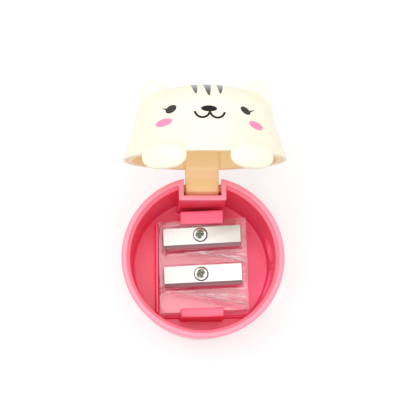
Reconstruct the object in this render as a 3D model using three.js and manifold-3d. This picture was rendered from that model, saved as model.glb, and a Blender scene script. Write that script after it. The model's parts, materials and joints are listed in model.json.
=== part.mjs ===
// A flip-lid canister pencil sharpener: a round cup with a clear two-hole sharpener block clipped
// to its floor, and a lid in the shape of a cat's head that swings up on an arm at the back.
// Millimetres, +Z up. The cup's axis is x = y = 0, its underside is z = 0, the front is -Y, and
// the pencils go in from +X. The lid is drawn shut and then turned up to its open stop.
import * as THREE from 'three';
import { mergeVertices } from 'three/addons/utils/BufferGeometryUtils.js';
import Module from 'manifold-3d';

const wasm = await Module();
wasm.setup();

// ---------------------------------------------------------------- driving dimensions
const runGap = 0.3;            // between pieces that move or merely meet
const seatGap = 0.15;          // under a piece that is screwed down on a slope
const pinGap = 0.15;           // around a hinge stub in its socket

// The larger pencil's cone sets the block's length and height, and the block sets the cup's size.
const smallMouthRadius = 4.1;
const largeMouthRadius = 5.5;
const coneSlope = 12.2;        // half angle of the sharpening cones, degrees
const smallHolePlay = 0.2;     // the hole in the cup's wall, beyond the cone's mouth
const largeHolePlay = 0.5;
const coneTipWall = 1.16;      // block left beyond the larger cone's tip
const coneUnderWall = 0.96;    // block left under the larger cone
const coneFrontWall = 1.85;    // block left in front of the larger cone
const coneBetweenWall = 2.13;  // block left between the two cones
const blockRight = 13.7;       // the block's end with the pencil holes
const blockFront = -14.95;
const blockBackWall = 1.97;    // block left behind the rear blade
const deckSlope = 12.2;        // degrees, rising towards the pencil holes

const bladeEndLeft = 1.55;     // block left beyond each end of a blade
const bladeEndRight = 1.35;
const bladeWidth = 6.6;
const bladeThickness = 0.6;
const bladeBevel = 1.1;
const bladeEdge = 0.06;        // thickness left at the cutting edge
const bladeRecess = 0.45;      // blade top below the block's border
const edgeOffset = 0.35;       // cutting edge behind the cone's axis
const chipSlot = 1.0;          // opening in front of the cutting edge
const chipSlotDepth = 4.1;
const tipPocketLength = 5.8;
const tipPocketWidth = 1.7;
const tipPocketDepth = 3.2;

const screwHeadRadius = 2.15;
const screwHeadHeight = 0.9;
const screwCrown = 0.3;        // how far the head rises from its edge to its middle
const screwFlat = 1.55;        // radius at which the crown starts to fall away
const screwShankRadius = 1.1;
const screwTipRadius = 0.45;
const screwLength = 5.0;
const screwInset = 3.3;        // screw axis behind the cutting edge
const crossWidth = 0.75;
const crossLength = 2.5;
const crossDepth = 0.55;

const blockRoom = 0.62;        // between the block's corner and the foot of the cup's wall
const cupHeight = 24.3;
const cupFlare = 1.9;          // how much wider the rim is than the foot, in radius
const cupRimWall = 1.7;
const cupBaseWall = 1.5;
const cupFloor = 1.6;
const cupEdge = 0.65;          // rounding of the rim and of the foot
const ledgeDepth = 1.8;        // step down inside the rim
const ledgeWidth = 0.85;

const clipHalfWidth = 6.5;     // the two clips that hold the block down
const clipHeadHeight = 1.3;
const backClipReach = 1.4;     // over the block
const backClipWall = 2.3;
const frontClipReach = 0.85;
const frontClipWall = 1.4;
const railWidth = 0.7;
const railDrop = 0.4;          // rail top below the block's left edge
const curbWidth = 0.7;
const curbHeight = 1.0;

const slotHalfWidth = 5.6;     // the hinge slot at the back of the cup
const slotWall = 1.5;
const slotDepth = 5.8;         // from the rim's outer edge to the slot's front wall
const hingeInset = 3.0;        // from the rim's outer edge to the hinge axis
const hingeZ = 18.64;
const lidOpenAngle = 85;       // degrees from shut to the open stop

const armGap = 0.5;            // beside the arm in its slot
const armFront = 1.2;          // faces of the arm's leg, from the hinge axis
const armBack = 1.3;
const knuckleRadius = 2.2;
const stubRadius = 1.1;
const stubReach = 0.9;         // how far a stub enters the slot's wall

const lidGap = 0.4;            // between the rim and the shut lid
const plateInset = 1.9;        // the plate's edge inside the rim's outer edge
const plateEdge = 0.6;         // height of the plate's widest band
const plateTaper = 0.9;        // how much the head's mouth draws in above it
const plateShoulder = 2.1;     // and the height where its own wall starts
const plateWall = 1.3;         // the plate is a dish, open towards the cup
const plateRoom = 0.4;         // between the dish and the head's wall
const dishDepth = 7.5;
const ribLean = 2.8;           // the arm runs on up the dish as a rib that leans in this far
const ribDepth = 1.2;          // from the rib's face to its root in the dish's wall

const headWall = 1.2;
const headRimWidth = 1.1;      // the head's rim outside the plate
const headWaistHeight = 12.0;  // from the lid's underside to where the dome starts
const headTaper = 3.8;         // how much the side draws in below the dome
const headTaperPower = 1.2;
const headHeight = 21.4;
const domeSquareness = 2.3;    // 2 is a plain ellipse; more is flatter on top and fuller at the side

const earRootDrop = 9.9;       // ear outline: its root below the crown of the head
const earTipRise = 1.3;        // and its tip above the crown
const earRise = 9.9;           // inner edge leaves the crown this far inside the dome's side
const earTipInset = 4.4;       // tip inside the dome's side
const earSideInset = 1.1;      // outer edge inside the dome's side
const earSwell = 1.2;          // how far the outer edge bows out
const earTipHalfWidth = 1.5;
const earFrontY = 6.3;         // front face of an ear, ahead of the head's axis
const earThickness = 4.6;
const earRound = 1.0;

const pawAngle = 28.3;         // degrees round from the front
const pawHalfArc = 6.7;
const pawHalfHeight = 3.8;
const pawDrop = 1.3;           // paw centre below the lid's underside
const pawBulge = 4.2;          // how far a paw stands out from the cup's rim
const pawRoot = 1.0;           // how deep a paw is rooted in the head's rim
const pawClearance = 0.8;      // between a paw and the cup's rim

// ---------------------------------------------------------------- derived values
const rad = THREE.MathUtils.degToRad;
const coneFlare = Math.tan(rad(coneSlope));
const deckRise = Math.tan(rad(deckSlope));

const blockUnder = cupFloor + runGap;
const blockLeft = blockRight - largeMouthRadius / coneFlare - coneTipWall;
const seatDepth = bladeRecess + bladeThickness + seatGap;
const deckRight = blockUnder + coneUnderWall + 2 * largeMouthRadius + seatDepth;
const deckAt = (x) => deckRight + deckRise * (x - blockRight);
const seatAt = (x) => deckAt(x) - seatDepth;

const bladeLeft = blockLeft + bladeEndLeft;
const bladeRight = blockRight - bladeEndRight;
const bladeHalf = (bladeRight - bladeLeft) / 2 / Math.cos(rad(deckSlope));
const bladeMiddle = (bladeLeft + bladeRight) / 2;

const largeConeY = blockFront + coneFrontWall + largeMouthRadius;
const smallConeY = largeConeY + largeMouthRadius + coneBetweenWall + smallMouthRadius;
const blockBack = smallConeY + edgeOffset + bladeWidth + blockBackWall;
const [small, large] = [
  { coneY: smallConeY, mouthRadius: smallMouthRadius, holeRadius: smallMouthRadius + smallHolePlay },
  { coneY: largeConeY, mouthRadius: largeMouthRadius, holeRadius: largeMouthRadius + largeHolePlay },
].map((pencil) => ({
  ...pencil,
  coneZ: seatAt(blockRight) - pencil.mouthRadius,
  coneLength: pencil.mouthRadius / coneFlare,
  edgeY: pencil.coneY + edgeOffset,
}));

const wellFloor = Math.hypot(blockRight, blockFront) + blockRoom;
const cupBaseRadius = wellFloor + cupBaseWall;
const cupRimRadius = cupBaseRadius + cupFlare;
const rimInner = cupRimRadius - cupRimWall;
const wellTop = rimInner - ledgeWidth;

const slotFrontY = cupRimRadius - slotDepth;
const hingeY = cupRimRadius - hingeInset;
const stopLipY = hingeY + armBack + runGap;
const armHalfWidth = slotHalfWidth - armGap;

const lidUnder = cupHeight + lidGap;
const plateTop = lidUnder + dishDepth + plateWall;
const plateRadius = cupRimRadius - plateInset;
const headRadius = plateRadius + runGap + headRimWidth;
const domeRadius = headRadius - headTaper;
const crown = lidUnder + headHeight;

// ---------------------------------------------------------------- helpers
const fine = 72;               // sides of the large round forms
const medium = 36;             // and of the pencil holes
const coarse = 20;             // and of the pins and screws
const past = 1;                // how far a cutting tool runs past the face that it opens

function solid(geometry, matrix = new THREE.Matrix4()) {
  const bare = geometry.index ? geometry.toNonIndexed() : geometry.clone();
  bare.deleteAttribute('normal');
  bare.deleteAttribute('uv');
  bare.applyMatrix4(matrix);
  const merged = mergeVertices(bare, 1e-5);
  const corners = merged.index.array;
  const kept = [];
  for (let i = 0; i < corners.length; i += 3) {
    const [a, b, c] = corners.slice(i, i + 3);
    if (a !== b && b !== c && c !== a) kept.push(a, b, c);
  }
  return new wasm.Manifold(new wasm.Mesh({
    numProp: 3,
    vertProperties: new Float32Array(merged.attributes.position.array),
    triVerts: new Uint32Array(kept),
  }));
}

function place({ x = 0, y = 0, z = 0, rx = 0, ry = 0, rz = 0 }) {
  const turn = new THREE.Euler(rad(rx), rad(ry), rad(rz), 'ZYX');
  return new THREE.Matrix4().makeRotationFromEuler(turn).setPosition(x, y, z);
}

function box([x0, x1], [y0, y1], [z0, z1]) {
  const geometry = new THREE.BoxGeometry(x1 - x0, y1 - y0, z1 - z0);
  return solid(geometry, place({ x: (x0 + x1) / 2, y: (y0 + y1) / 2, z: (z0 + z1) / 2 }));
}

// A solid turned about Z from [radius, z] points that start and end on the axis.
function turned(points, segments = fine) {
  const outline = points.map(([r, z]) => new THREE.Vector2(r, z));
  return solid(new THREE.LatheGeometry(outline, segments), place({ rx: 90 }));
}

// A cone or cylinder along X, from x0 to x1.
function alongX([x0, x1], [r0, r1], y, z, segments = medium) {
  const geometry = new THREE.CylinderGeometry(r1, r0, x1 - x0, segments);
  return solid(geometry, place({ x: (x0 + x1) / 2, y, z, rz: -90 }));
}

function cylinder(radius, [z0, z1], segments = fine) {
  return turned([[0, z0], [radius, z0], [radius, z1], [0, z1]], segments);
}

// A flat outline of [y, z] points, extruded along X.
function acrossX(shape, [x0, x1], curveSegments = 12) {
  const geometry = new THREE.ExtrudeGeometry(shape, {
    depth: x1 - x0, bevelEnabled: false, curveSegments,
  });
  const axes = new THREE.Matrix4().makeBasis(
    new THREE.Vector3(0, 1, 0), new THREE.Vector3(0, 0, 1), new THREE.Vector3(1, 0, 0));
  return solid(geometry, axes.setPosition(x0, 0, 0));
}

// A flat outline of [x, z] points, extruded along Y.
function acrossY(points, [y0, y1]) {
  const shape = new THREE.Shape(points.map(([x, z]) => new THREE.Vector2(x, z)));
  const geometry = new THREE.ExtrudeGeometry(shape, { depth: y1 - y0, bevelEnabled: false });
  return solid(geometry, place({ y: y1, rx: 90 }));
}

function arc(cx, cz, radius, from, to, steps = 4) {
  const points = [];
  for (let i = 0; i <= steps; i += 1) {
    const angle = rad(from + ((to - from) * i) / steps);
    points.push([cx + radius * Math.cos(angle), cz + radius * Math.sin(angle)]);
  }
  return points;
}

function mesh(name, shape, { color, roughness, metalness = 0, opacity = 1 }) {
  const { numProp, vertProperties, triVerts } = shape.getMesh();
  const positions = new Float32Array((vertProperties.length / numProp) * 3);
  for (let i = 0; i < positions.length / 3; i += 1) {
    positions.set(vertProperties.subarray(i * numProp, i * numProp + 3), i * 3);
  }
  const geometry = new THREE.BufferGeometry();
  geometry.setAttribute('position', new THREE.BufferAttribute(positions, 3));
  geometry.setIndex(new THREE.BufferAttribute(new Uint32Array(triVerts), 1));
  geometry.computeVertexNormals();
  const material = new THREE.MeshStandardMaterial({
    color, roughness, metalness, opacity, transparent: opacity < 1,
  });
  const part = new THREE.Mesh(geometry, material);
  part.name = name;
  return part;
}

const finishes = {
  cup: { color: 0xf4587c, roughness: 0.35 },
  clear: { color: 0xf6dfe2, roughness: 0.05, opacity: 0.35 },
  steel: { color: 0xd9d6d2, roughness: 0.3, metalness: 1 },
  screw: { color: 0xb8b4b0, roughness: 0.25, metalness: 1 },
  peach: { color: 0xffcf98, roughness: 0.4 },
  ivory: { color: 0xfff9e6, roughness: 0.35 },
};

// ---------------------------------------------------------------- the cup
function cupEnvelope() {
  return turned([
    [0, 0],
    ...arc(cupBaseRadius - cupEdge, cupEdge, cupEdge, -90, 0),
    ...arc(cupRimRadius - cupEdge, cupHeight - cupEdge, cupEdge, 0, 90),
    [0, cupHeight],
  ]);
}

function cupWell() {
  const above = cupHeight + past;
  return turned([
    [0, cupFloor], [wellFloor, cupFloor], [wellTop, cupHeight - ledgeDepth],
    [rimInner, cupHeight - ledgeDepth], [rimInner, above], [0, above],
  ]);
}

function hingeSlot(well) {
  const across = [-slotHalfWidth, slotHalfWidth];
  const relief = hingeZ - knuckleRadius - runGap;
  const tilt = rad(90 - lidOpenAngle);
  const stop = hingeZ - armBack / Math.cos(tilt)
    + (stopLipY - hingeY) * Math.tan(tilt) - runGap;
  const top = cupHeight + past;
  const beyond = cupRimRadius + past;
  return box(across, [slotFrontY, beyond], [cupFloor, top]).intersect(well)
    .add(box(across, [slotFrontY, stopLipY], [relief, top]))
    .add(box(across, [slotFrontY, beyond], [stop, top]));
}

// A clip's stem stands beside the block, and its sloping head hooks over the block's edge.
function clip(stemY, headY) {
  const x = [-clipHalfWidth, clipHalfWidth];
  const [under, over] = [runGap, runGap + clipHeadHeight].map((lift) => x.map((at) => deckAt(at) + lift));
  const root = cupFloor / 2;
  const stem = acrossY([[x[0], root], [x[1], root], [x[1], over[1]], [x[0], over[0]]], stemY);
  const head = acrossY([[x[0], under[0]], [x[1], under[1]], [x[1], over[1]], [x[0], over[0]]], headY);
  return stem.add(head);
}

function buildCup() {
  const envelope = cupEnvelope();
  const well = cupWell();
  const outer = slotHalfWidth + slotWall;
  const slotBox = box([-outer, outer], [slotFrontY - slotWall, cupRimRadius], [cupFloor / 2, cupHeight]);
  let cup = envelope.subtract(well)
    .add(slotBox.intersect(envelope))
    .subtract(hingeSlot(well));

  const backFace = blockBack + runGap;
  const frontFace = blockFront - runGap;
  const railRight = blockLeft - runGap;
  const railTop = deckAt(blockLeft) - railDrop;
  const root = cupFloor / 2;
  cup = cup
    .add(clip([backFace, backFace + backClipWall], [blockBack - backClipReach, backFace + backClipWall]))
    .add(clip([frontFace - frontClipWall, frontFace], [frontFace - frontClipWall, blockFront + frontClipReach]))
    .add(box([railRight - railWidth, railRight], [blockFront, blockBack], [root, railTop]))
    .add(box([blockLeft, blockRight], [frontFace - curbWidth, frontFace], [root, cupFloor + curbHeight]));

  for (const { coneY, coneZ, holeRadius } of [small, large]) {
    const hole = alongX([blockRight + runGap, cupRimRadius + past], [holeRadius, holeRadius], coneY, coneZ);
    cup = cup.subtract(hole);
  }
  const socket = slotHalfWidth + stubReach + runGap;
  const bore = stubRadius + pinGap;
  return cup.subtract(alongX([-socket, socket], [bore, bore], hingeY, hingeZ, coarse));
}

// ---------------------------------------------------------------- the sharpener block
// From the blade's own frame: origin under the middle of its cutting edge, X up the slope.
function inBladeFrame(shape, { edgeY }) {
  const frame = place({ x: bladeMiddle, y: edgeY, z: seatAt(bladeMiddle) + seatGap, ry: -deckSlope });
  return shape.transform(frame.elements);
}

// A hole for the screw's shank, in the blade's own frame.
function screwHole(span) {
  return cylinder(screwShankRadius + runGap, span, coarse).translate([0, screwInset, 0]);
}

function buildBlock() {
  let block = acrossY([
    [blockLeft, blockUnder], [blockRight, blockUnder],
    [blockRight, deckAt(blockRight)], [blockLeft, deckAt(blockLeft)],
  ], [blockFront, blockBack]);
  const half = bladeHalf + runGap;
  const above = seatDepth + past + deckRise * largeMouthRadius;
  for (const pencil of [small, large]) {
    const { coneY, coneZ, coneLength, mouthRadius } = pencil;
    const mouth = blockRight + past;
    const flare = mouthRadius + past * coneFlare;
    block = block.subtract(alongX([blockRight - coneLength, mouth], [0, flare], coneY, coneZ));

    const seat = box([-half, half], [-chipSlot, bladeWidth + runGap], [-seatGap, above]);
    const tip = blockRight - coneLength - bladeMiddle;
    const slot = box([tip, half], [-chipSlot, runGap], [-chipSlotDepth, above]);
    const pocket = box([tip - tipPocketLength, tip + runGap],
      [-tipPocketWidth, runGap], [-tipPocketDepth, above]);
    const pilot = screwHole([-screwLength - runGap, 0]);
    for (const cut of [seat, slot, pocket, pilot]) {
      block = block.subtract(inBladeFrame(cut, pencil));
    }
  }
  return block;
}

function buildBlade(pencil) {
  const section = new THREE.Shape([
    new THREE.Vector2(0, 0), new THREE.Vector2(bladeWidth, 0),
    new THREE.Vector2(bladeWidth, bladeThickness), new THREE.Vector2(bladeBevel, bladeThickness),
    new THREE.Vector2(0, bladeEdge),
  ]);
  const blade = acrossX(section, [-bladeHalf, bladeHalf]);
  return inBladeFrame(blade.subtract(screwHole([-past, bladeThickness + past])), pencil);
}

function buildScrew(pencil) {
  const seat = bladeThickness + seatGap;
  const top = seat + screwHeadHeight;
  const crownFall = screwCrown * (screwFlat / screwHeadRadius) ** 2;
  let screw = turned([
    [0, -screwLength], [screwTipRadius, -screwLength],
    [screwShankRadius, screwShankRadius - screwLength], [screwShankRadius, seat],
    [screwHeadRadius, seat], [screwHeadRadius, top - screwCrown],
    [screwFlat, top - crownFall], [0, top],
  ], coarse);
  for (const [w, l] of [[crossWidth, crossLength], [crossLength, crossWidth]]) {
    screw = screw.subtract(box([-w / 2, w / 2], [-l / 2, l / 2], [top - crossDepth, top + past]));
  }
  return inBladeFrame(screw.translate([0, screwInset, 0]), pencil);
}

// ---------------------------------------------------------------- the lid, drawn shut
function buildLidPlate() {
  const dishWall = (inset, heights) => heights.map((h) => [
    headSide(h / headWaistHeight) - headWall - plateRoom - inset, lidUnder + h,
  ]);
  const levels = [plateShoulder, dishDepth / 2, (2 * dishDepth + plateWall) / 3];
  const plate = turned([
    [0, lidUnder + dishDepth],
    ...dishWall(plateWall, [0, ...levels, dishDepth]).reverse(),
    [plateRadius, lidUnder], [plateRadius, lidUnder + plateEdge],
    ...dishWall(0, [...levels, dishDepth + plateWall]), [0, plateTop],
  ]);
  const leg = new THREE.Shape();
  const root = lidUnder + plateEdge;
  const front = hingeY - armFront;
  const ribTop = lidUnder + dishDepth + plateWall / 2;
  const lean = Math.acos(armFront / knuckleRadius);
  const leanBack = Math.acos(armBack / knuckleRadius);
  leg.moveTo(hingeY + armBack, root);
  leg.lineTo(front + ribDepth, root);
  leg.lineTo(front + ribDepth - ribLean, ribTop);
  leg.lineTo(front - ribLean, ribTop);
  leg.lineTo(front, lidUnder);
  leg.lineTo(front, hingeZ + knuckleRadius * Math.sin(lean));
  leg.absarc(hingeY, hingeZ, knuckleRadius, Math.PI - lean, 2 * Math.PI - leanBack, false);
  const arm = acrossX(leg, [-armHalfWidth, armHalfWidth])
    .intersect(cylinder(plateRadius, [0, plateTop]));
  const reach = slotHalfWidth + stubReach;
  const stubs = alongX([-reach, reach], [stubRadius, stubRadius], hingeY, hingeZ, coarse);
  return plate.add(arm).add(stubs);
}

// The radius of the head's side, a share of the way from the lid's underside to the dome.
const headSide = (share) => domeRadius + headTaper * (1 - share) ** headTaperPower;

// The head's outline as [radius, z] points, drawn in by a wall's thickness.
function headProfile(inset, steps = 7) {
  const side = [];
  for (let i = 0; i < steps; i += 1) {
    side.push([headSide(i / steps) - inset, lidUnder + headWaistHeight * i / steps]);
  }
  const rise = headHeight - headWaistHeight - inset;
  const dome = arc(0, 0, 1, 0, 90, steps).map(([r, h]) => [
    (domeRadius - inset) * Math.max(r, 0) ** (2 / domeSquareness),
    lidUnder + headWaistHeight + rise * h ** (2 / domeSquareness),
  ]);
  dome[steps][0] = 0;
  return [...side, ...dome];
}

function ear(side) {
  const root = crown - earRootDrop;
  const tip = crown + earTipRise;
  const rise = domeRadius - earRise;
  const tipX = domeRadius - earTipInset;
  const sideX = domeRadius - earSideInset;
  const shape = new THREE.Shape();
  shape.moveTo(side * (rise - 2 * earRound), root);
  shape.lineTo(side * sideX, root);
  shape.quadraticCurveTo(side * (sideX + earSwell), crown - 2 * earSwell,
    side * (tipX + earTipHalfWidth), tip - earRound);
  shape.quadraticCurveTo(side * tipX, tip + earRound / 2, side * (tipX - earTipHalfWidth), tip - earRound / 2);
  shape.quadraticCurveTo(side * (tipX - 2 * earTipHalfWidth), tip - earSwell, side * rise, crown - earSwell);
  shape.closePath();
  const geometry = new THREE.ExtrudeGeometry(shape, {
    depth: earThickness - 2 * earRound,
    curveSegments: 5,
    bevelThickness: earRound,
    bevelSize: earRound / 2,
    bevelOffset: -earRound / 2,
    bevelSegments: 2,
  });
  return solid(geometry, place({ y: earThickness - earRound - earFrontY, rx: 90 }));
}

// A rounded pad bent round the cup: width along the rim, height, and depth outwards.
function paw(side) {
  const inner = cupRimRadius - pawRoot;
  const depth = (pawRoot + pawBulge) / 2;
  const middle = inner + depth;
  const fullness = 0.88;       // under 1 makes a ball squarer
  const swell = (v) => Math.sign(v) * Math.abs(v) ** fullness;
  const geometry = new THREE.SphereGeometry(1, 20, 12);
  const at = geometry.attributes.position;
  for (let i = 0; i < at.count; i += 1) {
    const out = middle + depth * swell(at.getZ(i));
    const angle = rad(side * pawAngle) + (pawHalfArc * swell(at.getX(i))) / middle;
    const z = lidUnder - pawDrop + pawHalfHeight * swell(at.getY(i));
    at.setXYZ(i, out * Math.sin(angle), -out * Math.cos(angle), z);
  }
  return solid(geometry);
}

function buildHeadShell() {
  let head = turned([[0, lidUnder], ...headProfile(0)]);
  for (const side of [-1, 1]) {
    head = head.add(ear(side)).add(paw(side));
  }
  const mouth = plateRadius + runGap;
  const step = lidUnder + plateShoulder;
  const hollow = turned([
    [0, lidUnder - past], [mouth, lidUnder - past], [mouth, lidUnder + plateEdge + runGap / 3],
    [mouth - plateTaper, step],
    ...headProfile(headWall).filter(([r, z]) => z > step && r < mouth),
  ]);
  const cupRoom = cylinder(cupRimRadius + pawClearance, [0, lidUnder]);
  return head.subtract(hollow).subtract(cupRoom);
}

// ---------------------------------------------------------------- assembly
const sharpener = new THREE.Group();
sharpener.add(mesh('cup', buildCup(), finishes.cup));
sharpener.add(mesh('sharpener_block', buildBlock(), finishes.clear));
for (const [name, pencil] of Object.entries({ small, large })) {
  sharpener.add(mesh(`blade_${name}`, buildBlade(pencil), finishes.steel));
  sharpener.add(mesh(`blade_screw_${name}`, buildScrew(pencil), finishes.screw));
}

const lid = new THREE.Group();
lid.add(mesh('lid_plate', buildLidPlate(), finishes.peach));
lid.add(mesh('head_shell', buildHeadShell(), finishes.ivory));
lid.position.set(0, -hingeY, -hingeZ);
const hinge = new THREE.Group();
hinge.position.set(0, hingeY, hingeZ);
hinge.rotation.x = -rad(lidOpenAngle);
hinge.add(lid);
sharpener.add(hinge);

export default sharpener;
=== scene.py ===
# %% [markdown]
# A canister pencil sharpener with a kitten for a lid.
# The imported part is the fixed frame: it says where every piece lies and what turns with the lid.
# Each piece is rebuilt around it here with rounded edges and a real finish, one step at a time.

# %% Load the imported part
import itertools
import json
import math
import bmesh
import bpy
import numpy as np
from mathutils import Matrix, Vector


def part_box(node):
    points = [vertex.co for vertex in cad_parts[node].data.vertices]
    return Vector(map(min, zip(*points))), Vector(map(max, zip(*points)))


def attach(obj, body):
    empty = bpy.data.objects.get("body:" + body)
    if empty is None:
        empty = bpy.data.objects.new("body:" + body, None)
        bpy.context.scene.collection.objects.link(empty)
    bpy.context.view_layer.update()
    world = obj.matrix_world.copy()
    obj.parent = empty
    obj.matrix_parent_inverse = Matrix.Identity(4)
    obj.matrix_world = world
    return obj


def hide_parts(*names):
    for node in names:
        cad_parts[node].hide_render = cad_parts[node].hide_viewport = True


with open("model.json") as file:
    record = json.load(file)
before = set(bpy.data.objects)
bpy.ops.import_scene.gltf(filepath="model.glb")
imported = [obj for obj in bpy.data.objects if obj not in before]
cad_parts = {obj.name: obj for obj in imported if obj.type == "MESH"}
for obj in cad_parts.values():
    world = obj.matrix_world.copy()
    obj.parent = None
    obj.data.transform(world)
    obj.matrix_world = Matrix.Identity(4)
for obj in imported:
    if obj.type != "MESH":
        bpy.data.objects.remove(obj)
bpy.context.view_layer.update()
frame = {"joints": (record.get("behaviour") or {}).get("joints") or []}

# %% [markdown]
# Sizes are in millimetres, because the pieces are small, and become metres when a mesh is made.
# They could all be typed in, but whatever the part's own boxes give is read from them, so that
# the pieces can't drift away from the part.

# %% Sizes that the frame gives
MM = 0.001


def extent(node):
    """Lowest and highest corner of a node, in millimetres."""
    return [np.array(corner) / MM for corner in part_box(node)]


cup_high = extent("cup")[1]
rim_radius, cup_height = cup_high[0], cup_high[2]
(block_left, block_front, block_under), (block_right, block_back, deck_top) = extent("sharpener_block")
plate_radius = extent("lid_plate")[1][0]
head_radius = extent("head_shell")[1][0]
hinge_y, hinge_z = (value / MM for value in frame["joints"][0]["pos_m"][1:])
print(f"rim radius {rim_radius:.2f}, cup height {cup_height:.2f}, hinge at y {hinge_y:.2f} z {hinge_z:.2f}")

# %% [markdown]
# The top of the sharpener block is a deck that slopes up to the right. The cup's clips follow it
# and the blades lie parallel to it. Its height could be worked out again for each of them, but
# one function says it once and keeps them together.

# %% The block's sloping deck
deck_slope = math.radians(12.2)
deck_rise = math.tan(deck_slope)


def deck(x):
    """Height of the block's sloping top."""
    return deck_top + deck_rise * (x - block_right)


print(f"deck from {deck(block_left):.2f} to {deck(block_right):.2f}")

# %% [markdown]
# The camera looks down on the open sharpener from just in front of it and a little to the left,
# through a long lens. A Track To constraint could aim it, but its place and turn are plain
# numbers here, so that the view never drifts. One helper puts it, and every later object, in
# the scene.

# %% Camera
def placed(name, data):
    """An object that shows some data in the scene."""
    made = bpy.data.objects.new(name, data)
    bpy.context.scene.collection.objects.link(made)
    return made


camera_place = Vector((-18.433, -65.423, 463.797)) * MM
yaw, pitch, roll = (math.radians(angle) for angle in (2.559, 10.317, -0.096))

level = Matrix.Rotation(pitch, 3, "X")
right, up, back = (level @ Vector(axis) for axis in ((1, 0, 0), (0, 1, 0), (0, 0, 1)))
swung_right = right * math.cos(yaw) + back * math.sin(yaw)
swung_back = back * math.cos(yaw) - right * math.sin(yaw)
rolled_right = swung_right * math.cos(roll) + up * math.sin(roll)
rolled_up = up * math.cos(roll) - swung_right * math.sin(roll)
turn = Matrix((rolled_right, rolled_up, swung_back)).transposed().to_4x4()

lens = bpy.data.cameras.new("camera")
lens.lens, lens.sensor_width = 129.8, 36.0
lens.clip_start, lens.clip_end = 0.01, 10
camera = placed("camera", lens)
camera.matrix_world = Matrix.Translation(camera_place) @ turn
bpy.context.scene.camera = camera
bpy.context.scene.view_settings.view_transform = "Standard"
print("camera looks along", [round(v, 3) for v in -swung_back])

# %% [markdown]
# A finish is a small tree of nodes. Wiring it by hand is long and hard to read back, so one class
# wraps a socket and lets Python's own arithmetic add the Math nodes: mask * 0.5 is a node, and so
# is 1 - mask.

# %% A socket that does arithmetic
class Wire:
    """A socket of a finish, on which arithmetic adds nodes."""

    def __init__(self, finish, socket):
        self.finish, self.socket = finish, socket

    def math(self, operation, *values):
        vector = any(isinstance(v, Wire) and v.socket.type == "VECTOR" for v in values)
        kind = "ShaderNodeVectorMath" if vector else "ShaderNodeMath"
        return self.finish.node(kind, {"operation": operation}, dict(enumerate(values)))

    def __add__(self, other): return self.math("ADD", self, other)
    def __radd__(self, other): return self.math("ADD", other, self)
    def __sub__(self, other): return self.math("SUBTRACT", self, other)
    def __rsub__(self, other): return self.math("SUBTRACT", other, self)
    def __mul__(self, other): return self.math("MULTIPLY", self, other)
    def __rmul__(self, other): return self.math("MULTIPLY", other, self)
    def __truediv__(self, other): return self.math("DIVIDE", self, other)
    def __rtruediv__(self, other): return self.math("DIVIDE", other, self)
    def __pow__(self, other): return self.math("POWER", self, other)
    def __rpow__(self, other): return self.math("POWER", other, self)
    def __abs__(self): return self.math("ABSOLUTE", self)

    def least(self, other): return self.math("MINIMUM", self, other)
    def most(self, other): return self.math("MAXIMUM", self, other)

    def rise(self, start, end):
        """0 before start, 1 after end, and smooth between; start may be the larger."""
        return self.finish.node("ShaderNodeMapRange", {"interpolation_type": "SMOOTHSTEP"},
                                {0: self, 1: start, 2: end, 3: 0.0, 4: 1.0})

    def blend(self, before, after):
        """One colour where this is 0 and another where it is 1."""
        return self.finish.node("ShaderNodeMix", {"data_type": "RGBA"}, {0: self, 6: before, 7: after}, 2)

    def parts(self):
        """The three parts of a vector."""
        split = self.finish.node("ShaderNodeSeparateXYZ", {}, {0: self})
        return [Wire(self.finish, socket) for socket in split.socket.node.outputs]


# %% [markdown]
# A second class holds the tree itself. One of its methods makes any node. The others are what
# nearly every finish here needs: the piece's coordinates, noise, a bump and the shader. Node
# groups could hold these too, but a group is harder to read as text.

# %% A tree of nodes
class Finish:
    """The nodes of a material, or of the world, under construction."""

    def __init__(self, wearer, output="ShaderNodeOutputMaterial"):
        wearer.use_nodes = True
        self.wearer, self.tree = wearer, wearer.node_tree
        self.tree.nodes.clear()
        self.surface = self.tree.nodes.new(output).inputs[0]

    def node(self, kind, settings=None, values=None, output=0):
        """Any node, with its settings and what goes into its sockets."""
        made = self.tree.nodes.new(kind)
        for key, value in (settings or {}).items():
            setattr(made, key, value)
        for key, value in (values or {}).items():
            socket = made.inputs[key]
            if isinstance(value, Wire):
                self.tree.links.new(value.socket, socket)
            elif socket.type == "VECTOR" and not hasattr(value, "__len__"):
                socket.default_value = (value,) * 3
            else:
                socket.default_value = value
        return Wire(self, made.outputs[output])

    def place(self):
        """The piece's own coordinates, in millimetres."""
        return self.node("ShaderNodeTexCoord", output=3) * (1 / MM)

    def stretched(self, where, scale):
        """Coordinates scaled along each axis, so that what is laid on them is drawn out."""
        return self.node("ShaderNodeMapping", {}, {"Vector": where, "Scale": scale})

    def noise(self, where, size, detail=2.0):
        """Cloudy values from 0 to 1 with lumps of about that many millimetres."""
        return self.node("ShaderNodeTexNoise", {}, {"Vector": where, "Scale": 1 / size, "Detail": detail})

    def bump(self, height, depth):
        """A normal from a height of 0 to 1 that stands for a depth in millimetres."""
        return self.node("ShaderNodeBump", {}, {"Height": height, "Strength": 1.0, "Distance": depth * MM})

    def coat(self, **values):
        """The Principled shader, with plain numbers and colours set on its own sockets."""
        return self.node("ShaderNodeBsdfPrincipled", {},
                         {key.replace("_", " "): value for key, value in values.items()})

    def moulded(self, at, colour, roughness, **values):
        """Glossy moulded plastic: faint ripples, and a gloss that varies a little."""
        return self.show(self.coat(Base_Color=colour, Roughness=roughness, IOR=1.49,
                                   Normal=self.bump(self.noise(at, 0.9, 3.0), 0.006), **values))

    def show(self, shader):
        """Puts a shader on the surface and gives back what wears it."""
        self.tree.links.new(shader.socket, self.surface)
        print(self.wearer.name, len(self.tree.nodes), "nodes")
        return self.wearer


def new_finish(name):
    return Finish(bpy.data.materials.new(name))


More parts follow.
